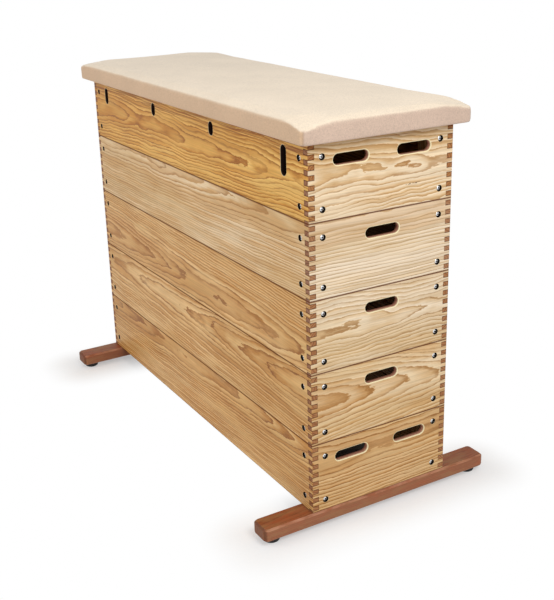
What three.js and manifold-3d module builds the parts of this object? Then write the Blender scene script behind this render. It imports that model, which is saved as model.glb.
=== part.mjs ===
// Vaulting box: five stacked wooden sections on two cross beams, with a padded leather top.
// Millimetres. X runs along the box, Y across it and Z up. The origin is on the floor, under the middle.

import * as THREE from 'three';
import { mergeVertices } from 'three/addons/utils/BufferGeometryUtils.js';
import Module from 'manifold-3d';

const wasm = await Module();
wasm.setup();

// Driving dimensions of the stack
const boxLength = 1400;
const boxWidth = 440;
const sectionCount = 5;
const sectionPitch = 200;
const boardThickness = 18;
const fingersPerCorner = 8;
const boardCornerEase = 2;
const boardEase = 1.2;
const seatGap = 0.3;

// Hand holes in the end boards: two in the lowest and in the top section, one in each of the others.
// The inset is from the side of the box to the end of a paired hole
const handHoleLength = 104;
const handHoleHeight = 28;
const handHoleBelowTop = 52;
const handHoleSideInset = 72.5;
const handHoleEase = 3;

// Upright slots in the side boards of the top section, spread evenly between the outermost ones,
// whose middles lie the inset from the ends of the box
const slotWidth = 26;
const slotBelowTop = 24;
const slotEndInset = 112;
const slotEase = 2;
const frontSlotHeight = 77;
const middleSlotHeight = 38;
const rearSlotHeight = 52;

// Counterbores for the corner screws, measured from the lower and the upper edge of a board
const counterboreDiameter = 17;
const counterboreDepth = 8;
const endScrewAboveBottom = 30;
const endScrewBelowTop = 40;
const sideScrewAboveBottom = 36;
const sideScrewBelowTop = 44;

// Corner posts: each hangs below its own section and finds its place inside the section below
const postSize = 45;
const postReach = 20;
const postEndGap = 4;
const postNoseTaper = 2.5;

// Cross beams under the ends
const beamLength = 740;
const beamWidth = 68;
const beamHeight = 38;
const beamProud = 4;
const beamCornerRadius = 10;
const beamEdgeRadius = 5;

// Screws that hold the beams to the posts of the lowest section, from below
const beamScrewPocketDiameter = 24;
const beamScrewPocketDepth = 9;
const beamScrewHeadWidth = 15;
const beamScrewHeadHeight = 5.5;
const beamScrewShank = 8;
const beamScrewLength = 70;

// Rubber feet, each with a stem pressed into its beam
const footDiameter = 46;
const footHeight = 15;
const footEdge = 2.5;
const footInset = 37;
const footStemDiameter = 10;
const footStemLength = 16;

// Padded top
const padOverhang = 35;
const padHeight = 60;
const padCornerRadius = 18;
const padInnerRadius = 6;
const padCrown = 6;
const padCornerDrop = 13;
const padDropReach = 62;
const padDrawIn = 3;
const padDrawReach = 220;
const padEdgeRadius = 8;
const padHemRadius = 3;
const leatherThickness = 2.5;
const hemWidth = 28;
const deckThickness = 15;

// Countersunk screws that hold the deck to the posts of the top section
const deckScrewHead = 10;
const deckScrewHeadHeight = 3;
const deckScrewShank = 5;
const deckScrewLength = 45;

// Shared by all cuts
const cutOverrun = 5;
const holeGap = 0.4;
const roundSegments = 10;
const arcSegments = 3;
const edgeSegments = 3;
const hexSides = 6;

// Heights and places that follow from the values above
const sectionHeight = sectionPitch - seatGap;
const beamBottom = footHeight + seatGap;
const beamTop = beamBottom + beamHeight;
const stackBottom = beamTop + seatGap;
const stackTop = stackBottom + sectionCount * sectionPitch - seatGap;
const topSection = sectionCount;
const postInset = boardThickness + seatGap + postSize / 2;
const postX = boxLength / 2 - postInset;
const postY = boxWidth / 2 - postInset;
const beamX = boxLength / 2 + beamProud - beamWidth / 2;
const deckBottom = stackTop + seatGap;
const deckTop = deckBottom + deckThickness;
const padTop = stackTop + padHeight;

// Axes of the shapes that are drawn flat and then stood up: drawing right, drawing up, and outwards
const facing = {
  front: [[0, 1, 0], [0, 0, 1], [1, 0, 0]],
  back: [[0, -1, 0], [0, 0, 1], [-1, 0, 0]],
  left: [[1, 0, 0], [0, 0, 1], [0, -1, 0]],
  right: [[-1, 0, 0], [0, 0, 1], [0, 1, 0]],
  down: [[1, 0, 0], [0, -1, 0], [0, 0, -1]],
};

const finish = (color, roughness, metalness) => new THREE.MeshStandardMaterial({ color, roughness, metalness });
const pine = finish('#d6a873', 0.55, 0);
const hardwood = finish('#96573a', 0.5, 0);
const rubber = finish('#1b1a1a', 0.85, 0);
const zinc = finish('#c3c5c6', 0.3, 1);
const plywood = finish('#c9a578', 0.65, 0);
const foam = finish('#dcd7b4', 0.95, 0);
const leather = finish('#e3d0b8', 0.8, 0);

// Solids and geometries

function solidOf(geometry) {
  const bare = geometry.clone();
  bare.deleteAttribute('normal');
  bare.deleteAttribute('uv');
  const welded = mergeVertices(bare);
  return new wasm.Manifold(new wasm.Mesh({
    numProp: 3,
    vertProperties: new Float32Array(welded.attributes.position.array),
    triVerts: new Uint32Array(welded.index.array),
  }));
}

function geometryOf(solid) {
  const mesh = solid.getMesh();
  const shared = new THREE.BufferGeometry();
  shared.setAttribute('position', new THREE.BufferAttribute(new Float32Array(mesh.vertProperties), 3));
  shared.setIndex(new THREE.BufferAttribute(new Uint32Array(mesh.triVerts), 1));
  const faceted = shared.toNonIndexed();
  faceted.computeVertexNormals();
  return faceted;
}

function cutFrom(geometry, cutters) {
  let solid = solidOf(geometry);
  for (const cutter of cutters) {
    solid = solid.subtract(solidOf(cutter));
  }
  return geometryOf(solid);
}

// Stands a flat drawing up: its own Z becomes the way that the side faces
function standUp(geometry, side, x, y, z) {
  const [right, up, out] = facing[side].map((axis) => new THREE.Vector3(...axis));
  const turn = new THREE.Matrix4().makeBasis(right, up, out);
  return geometry.applyMatrix4(turn).translate(x, y, z);
}

function roundedRectangle(length, width, radius) {
  const x = length / 2 - radius;
  const y = width / 2 - radius;
  const shape = new THREE.Shape();
  shape.absarc(x, y, radius, 0, Math.PI / 2);
  shape.absarc(-x, y, radius, Math.PI / 2, Math.PI);
  shape.absarc(-x, -y, radius, Math.PI, Math.PI * 3 / 2);
  shape.absarc(x, -y, radius, Math.PI * 3 / 2, Math.PI * 2);
  return shape;
}

// The outline of a hole with two round ends, which lies along the drawing or stands upright in it
function roundEndedHole({ x, y, length, height }) {
  const hole = new THREE.Path();
  const radius = Math.min(length, height) / 2;
  const reachX = length / 2 - radius;
  const reachY = height / 2 - radius;
  if (reachX > reachY) {
    hole.absarc(x + reachX, y, radius, -Math.PI / 2, Math.PI / 2);
    hole.absarc(x - reachX, y, radius, Math.PI / 2, Math.PI * 3 / 2);
  } else {
    hole.absarc(x, y + reachY, radius, 0, Math.PI);
    hole.absarc(x, y - reachY, radius, Math.PI, Math.PI * 2);
  }
  return hole;
}

// The chamfer of such a hole's rim: narrow at its depth, and wider by the chamfer at the face
function rimCutter(hole, ease) {
  return new THREE.ExtrudeGeometry(new THREE.Shape(roundEndedHole(hole).getPoints(arcSegments)), {
    depth: cutOverrun, bevelEnabled: true, bevelThickness: ease, bevelSize: ease, bevelSegments: 1,
  });
}

// A round hole whose axis is the drawing's Z, sunk below the face by its depth
function boreCutter(diameter, depth) {
  const length = depth + cutOverrun;
  const bore = new THREE.CylinderGeometry(diameter / 2, diameter / 2, length, roundSegments);
  return bore.rotateX(Math.PI / 2).translate(0, 0, length / 2 - depth);
}

// Boards

// One end of a board in its drawing: how far each point of the comb lies behind the end, from bottom to top
function combEdge(endsInWood, fingerGap) {
  const notch = boardThickness + seatGap;
  const fingerPitch = sectionHeight / fingersPerCorner;
  const fingerStartShare = 0.25;
  const fingerEndShare = 0.75;
  const rest = endsInWood ? 0 : notch;
  const step = endsInWood ? notch : 0;
  const points = [{ back: rest, z: 0 }];
  for (let i = 0; i < fingersPerCorner; i += 1) {
    const start = (i + fingerStartShare) * fingerPitch + fingerGap;
    const end = (i + fingerEndShare) * fingerPitch - fingerGap;
    points.push({ back: rest, z: start }, { back: step, z: start });
    points.push({ back: step, z: end }, { back: rest, z: end });
  }
  points.push({ back: rest, z: sectionHeight });
  return points;
}

function boardShape(length, comb, holes) {
  const half = length / 2;
  const rightEdge = comb.map((point) => new THREE.Vector2(half - point.back, point.z));
  const leftEdge = comb.map((point) => new THREE.Vector2(point.back - half, point.z)).reverse();
  const shape = new THREE.Shape([...rightEdge, ...leftEdge]);
  shape.holes.push(...holes.map(roundEndedHole));
  return shape;
}

// The outside of one section, with its upright corners and its edges eased
function sectionEnvelope() {
  const x = boxLength / 2;
  const y = boxWidth / 2;
  const cut = boardCornerEase;
  const outline = [
    [x, cut - y], [x, y - cut], [x - cut, y], [cut - x, y],
    [-x, y - cut], [-x, cut - y], [cut - x, -y], [x - cut, -y],
  ];
  const block = new THREE.ExtrudeGeometry(new THREE.Shape(outline.map((point) => new THREE.Vector2(...point))), {
    depth: sectionHeight - 2 * boardEase, bevelEnabled: true,
    bevelThickness: boardEase, bevelSize: boardEase, bevelOffset: -boardEase, bevelSegments: 1,
  });
  return solidOf(block.translate(0, 0, boardEase));
}

const envelope = sectionEnvelope();

// A board stands on z = 0 with its outer face where its side says; holes have their rims eased on both faces
function board({ length, reach, side, inside, comb, holes, ease, screwHeights }) {
  const [, , out] = facing[side];
  const at = (distance) => [out[0] * distance, out[1] * distance, 0];
  const slab = new THREE.ExtrudeGeometry(boardShape(length, comb, holes), {
    depth: boardThickness, bevelEnabled: false, curveSegments: arcSegments,
  });
  const cutters = [];
  for (const hole of holes) {
    cutters.push(standUp(rimCutter(hole, ease), side, ...at(reach)));
    cutters.push(standUp(rimCutter({ ...hole, x: -hole.x }, ease), inside, ...at(reach - boardThickness)));
  }
  const along = length / 2 - postInset;
  for (const z of screwHeights) {
    for (const x of [-along, along]) {
      const bore = boreCutter(counterboreDiameter, counterboreDepth).translate(x, z, 0);
      cutters.push(standUp(bore, side, ...at(reach)));
    }
  }
  let solid = solidOf(standUp(slab, side, ...at(reach - boardThickness)));
  for (const cutter of cutters) {
    solid = solid.subtract(solidOf(cutter));
  }
  return geometryOf(solid.intersect(envelope));
}

function endBoard(holeCount) {
  const centre = sectionHeight - handHoleBelowTop;
  const apart = boxWidth / 2 - handHoleSideInset - handHoleLength / 2;
  const places = holeCount === 1 ? [0] : [-apart, apart];
  return board({
    length: boxWidth, reach: boxLength / 2, side: 'front', inside: 'back',
    comb: combEdge(true, 0),
    holes: places.map((x) => ({ x, y: centre, length: handHoleLength, height: handHoleHeight })),
    ease: handHoleEase,
    screwHeights: [endScrewAboveBottom, sectionHeight - endScrewBelowTop],
  });
}

function sideBoard(slotHeights) {
  const outermost = boxLength / 2 - slotEndInset;
  const slots = slotHeights.map((height, i) => ({
    x: outermost * (1 - 2 * i / (slotHeights.length - 1)),
    y: sectionHeight - slotBelowTop - height / 2,
    length: slotWidth,
    height,
  }));
  return board({
    length: boxLength, reach: boxWidth / 2, side: 'left', inside: 'right',
    comb: combEdge(false, seatGap),
    holes: slots,
    ease: slotEase,
    screwHeights: [sideScrewAboveBottom, sectionHeight - sideScrewBelowTop],
  });
}

// Closed skin through a list of rings, each a list of points, from the pole below to the pole above.
// Rings run anticlockwise seen from above. A pole is a ring of one point.
function skin(rings) {
  const positions = rings.flat(2);
  const starts = [];
  let count = 0;
  for (const ring of rings) {
    starts.push(count);
    count += ring.length;
  }
  const index = [];
  for (let i = 0; i + 1 < rings.length; i += 1) {
    const [from, to] = [rings[i].length, rings[i + 1].length];
    const steps = Math.max(from, to);
    for (let k = 0; k < steps; k += 1) {
      const [a, b] = [starts[i] + (k % from), starts[i] + ((k + 1) % from)];
      const [c, d] = [starts[i + 1] + (k % to), starts[i + 1] + ((k + 1) % to)];
      if (from > 1) index.push(a, b, d);
      if (to > 1) index.push(a, d, c);
    }
  }
  const geometry = new THREE.BufferGeometry();
  geometry.setAttribute('position', new THREE.BufferAttribute(new Float32Array(positions), 3));
  geometry.setIndex(index);
  const faceted = geometry.toNonIndexed();
  faceted.computeVertexNormals();
  return faceted;
}

// Corner posts, drawn about their own axis with the boards towards +X and +Y

function squareRing(z, setBack) {
  const near = -postSize / 2;
  const far = postSize / 2 - setBack;
  return [[near, near, z], [far, near, z], [far, far, z], [near, far, z]];
}

function postGeometry(bottom, top) {
  const nose = bottom < 0 ? [squareRing(bottom, postNoseTaper)] : [];
  const rings = [...nose, squareRing(0, 0), squareRing(top, 0)];
  return skin([[[0, 0, Math.min(bottom, 0)]], ...rings, [[0, 0, top]]]);
}

function sectionPost(level) {
  const bottom = level === 1 ? 0 : -postReach;
  const top = level === topSection ? sectionHeight : sectionHeight - postReach - postEndGap;
  const post = postGeometry(bottom, top);
  if (level === 1) {
    const depth = beamScrewLength - (beamHeight - beamScrewPocketDepth) + holeGap;
    return cutFrom(post, [standUp(boreCutter(beamScrewShank + 2 * holeGap, depth), 'down', 0, 0, 0)]);
  }
  if (level === topSection) {
    const depth = deckScrewLength - deckThickness + holeGap;
    return cutFrom(post, [boreCutter(deckScrewShank + 2 * holeGap, depth).translate(0, 0, top)]);
  }
  return post;
}

// Beams, feet and screws

function beamGeometry() {
  const bar = new THREE.ExtrudeGeometry(roundedRectangle(beamWidth, beamLength, beamCornerRadius), {
    depth: beamHeight - 2 * beamEdgeRadius, curveSegments: 2, bevelEnabled: true,
    bevelThickness: beamEdgeRadius, bevelSize: beamEdgeRadius, bevelOffset: -beamEdgeRadius,
    bevelSegments: edgeSegments,
  }).translate(0, 0, beamEdgeRadius);
  const cutters = [];
  for (const side of [-1, 1]) {
    const stem = boreCutter(footStemDiameter + 2 * holeGap, footStemLength + holeGap);
    cutters.push(standUp(stem, 'down', 0, side * (beamLength / 2 - footInset), 0));
    const shank = boreCutter(beamScrewShank + 2 * holeGap, beamHeight + cutOverrun);
    cutters.push(standUp(shank, 'down', postX - beamX, side * postY, 0));
    const pocket = boreCutter(beamScrewPocketDiameter, beamScrewPocketDepth);
    cutters.push(standUp(pocket, 'down', postX - beamX, side * postY, 0));
  }
  return cutFrom(bar, cutters);
}

// Turned pieces stand on z = 0; a profile is a list of radius and height pairs
function turned(profile) {
  const points = profile.map(([radius, height]) => new THREE.Vector2(radius, height));
  return new THREE.LatheGeometry(points, roundSegments).rotateX(Math.PI / 2);
}

function footGeometry() {
  return turned([
    [0, 0],
    [footDiameter / 2 - footEdge, 0],
    [footDiameter / 2, footEdge],
    [footDiameter / 2, footHeight],
    [footStemDiameter / 2, footHeight],
    [footStemDiameter / 2, footHeight + footStemLength],
    [0, footHeight + footStemLength],
  ]);
}

function beamScrewGeometry() {
  const radius = beamScrewHeadWidth / 2 / Math.cos(Math.PI / hexSides);
  const head = new THREE.CylinderGeometry(radius, radius, beamScrewHeadHeight, hexSides);
  const shank = turned([
    [0, -beamScrewHeadHeight / 2],
    [beamScrewShank / 2, -beamScrewHeadHeight / 2],
    [beamScrewShank / 2, beamScrewLength - beamScrewShank / 2],
    [0, beamScrewLength],
  ]);
  head.rotateX(Math.PI / 2).translate(0, 0, -beamScrewHeadHeight / 2);
  return geometryOf(solidOf(head).add(solidOf(shank)));
}

// Stands on its point, with the flat of its head at the full length
function deckScrewGeometry() {
  return turned([
    [0, 0],
    [deckScrewShank / 2, deckScrewShank / 2],
    [deckScrewShank / 2, deckScrewLength - deckScrewHeadHeight],
    [deckScrewHead / 2, deckScrewLength],
    [0, deckScrewLength],
  ]);
}

// Padded top: leather cover, foam and deck share one family of rings, so that they lie in one another

const padHalfLength = boxLength / 2 + padOverhang;
const padHalfWidth = boxWidth / 2 + padOverhang;
const arcStepShares = [0, 0.25, 0.5, 0.75, 1];
const dropStationShares = [0.2, 0.5, 1];
const middleShare = 0.5;
const edgeStepShares = [0, 0.33, 0.67, 1];
const crownStepShares = [0.12, 0.4, 0.75];
const crownDropShares = [0.45, 0, 0];

// Places along one straight side, as shares of its length
function sideStations(straight) {
  const near = dropStationShares.map((share) => share * padDropReach / straight);
  return [...near, middleShare, ...near.map((share) => 1 - share).reverse()];
}

// One station of the outline: the corner that it belongs to, the way to the next one, and its two weights
function padStations() {
  const straights = [2 * (padHalfWidth - padCornerRadius), 2 * (padHalfLength - padCornerRadius)];
  const stations = [];
  for (let corner = 0; corner < 4; corner += 1) {
    for (const share of arcStepShares) {
      stations.push({ corner, angle: (corner + share) * Math.PI / 2, share: 0, drop: 1, draw: 0 });
    }
    const straight = straights[(corner + 1) % 2];
    for (const share of sideStations(straight)) {
      const distance = Math.min(share, 1 - share) * straight;
      const drop = Math.max(0, 1 - distance / padDropReach) ** 2;
      const draw = 1 - Math.max(0, 1 - distance / padDrawReach) ** 2;
      stations.push({ corner, angle: (corner + 1) * Math.PI / 2, share, drop, draw });
    }
  }
  return stations;
}

const stations = padStations();

// A ring of the pad: so far inside the outline, at this height, drawn in at mid side, dropped at the corners
function padRing({ inset, height, drawShare = 0, dropShare = 0 }) {
  const radius = Math.max(padCornerRadius - inset, padInnerRadius);
  const centreX = padHalfLength - inset - radius;
  const centreY = padHalfWidth - inset - radius;
  const quarter = [[1, 1], [-1, 1], [-1, -1], [1, -1]];
  return stations.map(({ corner, angle, share, drop, draw }) => {
    const [sx, sy] = quarter[corner];
    const [tx, ty] = quarter[(corner + 1) % 4];
    const pulled = radius - padDrawIn * drawShare * draw;
    const x = centreX * (sx + (tx - sx) * share) + pulled * Math.cos(angle);
    const y = centreY * (sy + (ty - sy) * share) + pulled * Math.sin(angle);
    return [x, y, height - padCornerDrop * dropShare * drop];
  });
}

// The outside of the pad above the deck, by a skin further in: side, rounded edge and crown
function padProfile(skinDepth) {
  const top = padTop - skinDepth;
  const shoulder = top - padCrown;
  const radius = padEdgeRadius - skinDepth / 2;
  const crownWidth = padHalfWidth - padEdgeRadius;
  const rings = edgeStepShares.map((share) => {
    const angle = share * Math.PI / 2;
    return padRing({
      inset: skinDepth + radius * (1 - Math.cos(angle)),
      height: shoulder - radius * (1 - Math.sin(angle)),
      drawShare: 1,
      dropShare: 1,
    });
  });
  crownStepShares.forEach((share, i) => {
    rings.push(padRing({
      inset: padEdgeRadius + share * crownWidth,
      height: shoulder + padCrown * (1 - (1 - share) ** 2),
      drawShare: 1 - share,
      dropShare: crownDropShares[i],
    }));
  });
  rings.push([[0, 0, top]]);
  return rings;
}

function coverGeometry() {
  const hemBottom = stackTop - leatherThickness;
  const openingBottom = hemBottom - cutOverrun;
  const outside = skin([
    [[0, 0, hemBottom]],
    padRing({ inset: padHemRadius, height: hemBottom }),
    padRing({ inset: 0, height: hemBottom + padHemRadius }),
    padRing({ inset: 0, height: deckTop }),
    ...padProfile(0),
  ]);
  const hollow = skin([
    [[0, 0, openingBottom]],
    padRing({ inset: hemWidth, height: openingBottom }),
    padRing({ inset: hemWidth, height: stackTop }),
    padRing({ inset: leatherThickness, height: stackTop }),
    padRing({ inset: leatherThickness, height: deckTop }),
    ...padProfile(leatherThickness),
  ]);
  return cutFrom(outside, [hollow]);
}

function foamGeometry() {
  const inset = leatherThickness + seatGap;
  const bottom = deckTop + seatGap;
  return skin([[[0, 0, bottom]], padRing({ inset, height: bottom }), ...padProfile(inset)]);
}

function deckGeometry() {
  const inset = leatherThickness + seatGap + padDrawIn;
  const [length, width] = [2 * (padHalfLength - inset), 2 * (padHalfWidth - inset)];
  const sheet = new THREE.ExtrudeGeometry(roundedRectangle(length, width, padCornerRadius - inset), {
    depth: deckThickness, bevelEnabled: false, curveSegments: 2,
  });
  const cutters = [];
  const hole = turned([
    [0, 0],
    [deckScrewShank / 2 + holeGap, 0],
    [deckScrewShank / 2 + holeGap, deckScrewLength - deckScrewHeadHeight],
    [deckScrewHead / 2 + holeGap, deckScrewLength],
    [deckScrewHead / 2 + holeGap, deckScrewLength + cutOverrun],
    [0, deckScrewLength + cutOverrun],
  ]);
  for (const [sx, sy] of [[1, 1], [-1, 1], [-1, -1], [1, -1]]) {
    cutters.push(hole.clone().translate(sx * postX, sy * postY, deckTop - deckScrewLength));
  }
  return cutFrom(sheet.translate(0, 0, deckBottom), cutters);
}

// Assembly

const vaultingBox = new THREE.Group();

function place(name, geometry, material, group, x = 0, y = 0, z = 0, turn = 0) {
  const mesh = new THREE.Mesh(geometry, material);
  mesh.name = name;
  mesh.position.set(x, y, z);
  mesh.rotation.z = turn;
  group.add(mesh);
}

const corners = [
  { name: 'front_right', sx: 1, sy: 1, turn: 0 },
  { name: 'rear_right', sx: -1, sy: 1, turn: Math.PI / 2 },
  { name: 'rear_left', sx: -1, sy: -1, turn: Math.PI },
  { name: 'front_left', sx: 1, sy: -1, turn: Math.PI * 3 / 2 },
];

function buildSection(level) {
  const section = new THREE.Group();
  section.position.z = stackBottom + (level - 1) * sectionPitch;
  const twoHoles = level === 1 || level === topSection;
  const end = endBoard(twoHoles ? 2 : 1);
  const slotHeights = [frontSlotHeight, middleSlotHeight, middleSlotHeight, rearSlotHeight];
  const side = sideBoard(level === topSection ? slotHeights : []);
  place(`section_${level}_board_front`, end, pine, section);
  place(`section_${level}_board_rear`, end, pine, section, 0, 0, 0, Math.PI);
  place(`section_${level}_board_left`, side, pine, section);
  place(`section_${level}_board_right`, side, pine, section, 0, 0, 0, Math.PI);
  const post = sectionPost(level);
  for (const { name, sx, sy, turn } of corners) {
    place(`section_${level}_post_${name}`, post, pine, section, sx * postX, sy * postY, 0, turn);
  }
  vaultingBox.add(section);
}

for (let level = 1; level <= sectionCount; level += 1) {
  buildSection(level);
}

const beam = beamGeometry();
place('beam_front', beam, hardwood, vaultingBox, beamX, 0, beamBottom);
place('beam_rear', beam, hardwood, vaultingBox, -beamX, 0, beamBottom, Math.PI);

const foot = footGeometry();
const beamScrew = beamScrewGeometry();
const deckScrew = deckScrewGeometry();
for (const { name, sx, sy } of corners) {
  place(`foot_${name}`, foot, rubber, vaultingBox, sx * beamX, sy * (beamLength / 2 - footInset));
  place(`beam_screw_${name}`, beamScrew, zinc, vaultingBox,
    sx * postX, sy * postY, beamBottom + beamScrewPocketDepth - seatGap);
  place(`deck_screw_${name}`, deckScrew, zinc, vaultingBox, sx * postX, sy * postY, deckTop - deckScrewLength);
}

place('deck', deckGeometry(), plywood, vaultingBox);
place('foam_pad', foamGeometry(), foam, vaultingBox);
place('leather_cover', coverGeometry(), leather, vaultingBox);

export default vaultingBox;
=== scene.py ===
import math
import random

import bmesh
import bpy
import numpy as np
from mathutils import Matrix, Vector, noise
from mathutils.geometry import tessellate_polygon


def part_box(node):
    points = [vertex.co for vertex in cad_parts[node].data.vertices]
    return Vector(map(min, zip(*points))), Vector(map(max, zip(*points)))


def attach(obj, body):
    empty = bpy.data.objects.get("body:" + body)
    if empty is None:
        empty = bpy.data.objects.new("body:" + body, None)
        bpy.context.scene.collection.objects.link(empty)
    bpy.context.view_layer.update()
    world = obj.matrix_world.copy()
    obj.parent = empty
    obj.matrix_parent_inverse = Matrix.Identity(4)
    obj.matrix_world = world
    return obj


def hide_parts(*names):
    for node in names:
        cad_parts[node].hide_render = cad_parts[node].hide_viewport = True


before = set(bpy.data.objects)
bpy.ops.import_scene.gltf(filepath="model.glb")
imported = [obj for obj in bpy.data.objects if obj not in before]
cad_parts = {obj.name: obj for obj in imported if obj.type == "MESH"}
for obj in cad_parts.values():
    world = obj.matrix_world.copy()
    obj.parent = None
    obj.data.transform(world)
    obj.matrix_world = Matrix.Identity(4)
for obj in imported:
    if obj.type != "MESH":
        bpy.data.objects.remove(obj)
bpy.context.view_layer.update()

random.seed(7)

# Sizes in millimetres, as the solids have them
MM = 0.001
BOX_LENGTH = 1400
BOX_WIDTH = 440
SECTION_COUNT = 5
SECTION_PITCH = 200
SECTION_HEIGHT = 199.7
BOARD_THICKNESS = 18
SEAT_GAP = 0.3
STACK_BOTTOM = 53.6
STACK_TOP = 1053.3
FINGERS = 8
FINGER_SHARES = (0.25, 0.75)
CORNER_EASE = 2.0
EDGE_EASE = 1.2
FINGER_EASE = 0.25
EASE_DEPTH = 1.5
BACK_EASE = 0.5
HAND_HOLE = (104, 28)
HAND_HOLE_BELOW_TOP = 52
HAND_HOLE_APART = 95.5
HAND_HOLE_EASE = 3
SLOT_WIDTH = 26
SLOT_BELOW_TOP = 24
SLOT_PLACES = (588, 196, -196, -588)
SLOT_HEIGHTS = (77, 38, 38, 52)
SLOT_EASE = 2
POST_INSET = 40.8
BORE_RADIUS = 8.5
BORE_DEPTH = 8
BORE_RIM = 0.5
BORE_SIDES = 36
# Walls within this reach of a bore's middle are dark: painted shade over darkened end grain
BORE_ROOM = 19
END_SCREW_HEIGHTS = (30, SECTION_HEIGHT - 40)
SIDE_SCREW_HEIGHTS = (36, SECTION_HEIGHT - 44)
BEAM_LENGTH = 740
BEAM_WIDTH = 68
BEAM_HEIGHT = 38
BEAM_BOTTOM = 15.3
BEAM_MIDDLE = 670
BEAM_CORNER = 14
BEAM_EDGE = 5
BEAM_LOWER_EDGE = 8
BEAM_SCREW = (659.2, 179.2)
# Radius, depth and rim of the beams' holes for a screw's head and for a foot's peg
BEAM_SCREW_BORE = (12, 9, 0.6)
FOOT_BORE = (5.4, 16.4, 0.2)
FOOT_INSET = 37
FOOT_SIDES = 48
CORNERS = {"front_right": (1, 1), "rear_right": (-1, 1), "rear_left": (-1, -1), "front_left": (1, -1)}
BODIES = {1: "base_section", 2: "section_2", 3: "section_3", 4: "section_4", 5: "top_section"}


def srgb(red, green, blue):
    """A colour as the eye reads it, from 0 to 255, turned into the linear values that shaders take."""
    def linear(value):
        value /= 255
        return value / 12.92 if value <= 0.04045 else ((value + 0.055) / 1.055) ** 2.4
    return (linear(red), linear(green), linear(blue), 1.0)


def configure(thing, **settings):
    for name, value in settings.items():
        setattr(thing, name, value)
    return thing


def rotation(degrees, axis):
    return Matrix.Rotation(math.radians(degrees), 4, axis)


# Shader building

class Wires:
    """Adds nodes to one tree. Every value may be a number or another node's socket."""

    def __init__(self, tree):
        self.tree = tree

    def feed(self, socket, value):
        if isinstance(value, bpy.types.NodeSocket):
            self.tree.links.new(value, socket)
        else:
            socket.default_value = value

    def fill(self, node, inputs):
        for name, value in inputs.items():
            self.feed(node.inputs[name], value)

    def node(self, kind, inputs=None, **settings):
        made = configure(self.tree.nodes.new(kind), **settings)
        self.fill(made, inputs or {})
        return made

    def math(self, operation, a, b=0.0, clamp=False):
        return self.node("ShaderNodeMath", {0: a, 1: b}, operation=operation, use_clamp=clamp).outputs[0]

    def plus(self, a, b):
        return self.math("ADD", a, b)

    def minus(self, a, b):
        return self.math("SUBTRACT", a, b)

    def times(self, a, b, clamp=False):
        return self.math("MULTIPLY", a, b, clamp)

    def larger(self, a, b):
        return self.math("MAXIMUM", a, b)

    def absolute(self, a):
        return self.math("ABSOLUTE", a)

    def apart(self, a, b):
        return self.absolute(self.minus(a, b))

    def diagonal(self, a, b):
        return self.math("SQRT", self.plus(self.times(a, a), self.times(b, b)))

    def vector(self, x, y, z):
        return self.node("ShaderNodeCombineXYZ", {0: x, 1: y, 2: z}).outputs[0]

    def split(self, vector):
        return self.node("ShaderNodeSeparateXYZ", {0: vector}).outputs

    def combined(self, operation, a, b):
        return self.node("ShaderNodeVectorMath", {0: a, 1: b}, operation=operation).outputs[0]

    def scaled(self, vector, factors):
        return self.combined("MULTIPLY", vector, factors)

    def shaded(self, colour, shade):
        return self.scaled(colour, self.vector(shade, shade, shade))

    def noise(self, vector, scale=1.0, detail=2.0, roughness=0.5, output=0):
        inputs = {"Vector": vector, "Scale": scale, "Detail": detail, "Roughness": roughness}
        return self.node("ShaderNodeTexNoise", inputs).outputs[output]

    def streaks(self, vector, factors, detail=2.0, roughness=0.5, output=0):
        """Noise pressed together by a factor along each axis."""
        return self.noise(self.scaled(vector, factors), 1.0, detail, roughness, output)

    def chance(self, vector, dimensions):
        return self.node("ShaderNodeTexWhiteNoise", {0: vector}, noise_dimensions=dimensions).outputs[0]

    def smooth(self, value, start, end, low=0.0, high=1.0):
        inputs = {"Value": value, "From Min": start, "From Max": end, "To Min": low, "To Max": high}
        return self.node("ShaderNodeMapRange", inputs, interpolation_type="SMOOTHSTEP").outputs[0]

    def fade(self, value, start, end):
        return self.smooth(value, start, end, 1.0, 0.0)

    def mix(self, factor, a, b):
        return self.node("ShaderNodeMix", {0: factor, 6: a, 7: b}, data_type="RGBA").outputs[2]

    def bump(self, height, strength, distance):
        inputs = {"Height": height, "Strength": strength, "Distance": distance}
        return self.node("ShaderNodeBump", inputs).outputs[0]

    def object_point(self):
        return self.node("ShaderNodeTexCoord").outputs["Object"]

    def object_normal(self):
        return self.node("ShaderNodeTexCoord").outputs["Normal"]


def emptied(owner):
    """The wires of a material's or world's tree, once the tree is empty."""
    owner.use_nodes = True
    owner.node_tree.nodes.clear()
    return Wires(owner.node_tree)


def new_material(name):
    """A material, its wires and its Principled shader."""
    material = bpy.data.materials.new(name)
    w = emptied(material)
    shader = w.node("ShaderNodeBsdfPrincipled")
    w.node("ShaderNodeOutputMaterial", {0: shader.outputs[0]})
    return material, w, shader


# How a board is cut from its log, and the colours across a growth ring
CUT_NAMES = ("Ring", "Taper", "Wander", "Wave", "Jag", "Heart", "Contrast")
RING_COLOURS = ("Early", "Middle", "Late")
# How far a surface faces along the grain where end grain starts, and where it covers all
END_GRAIN = (0.45, 0.85)


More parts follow.
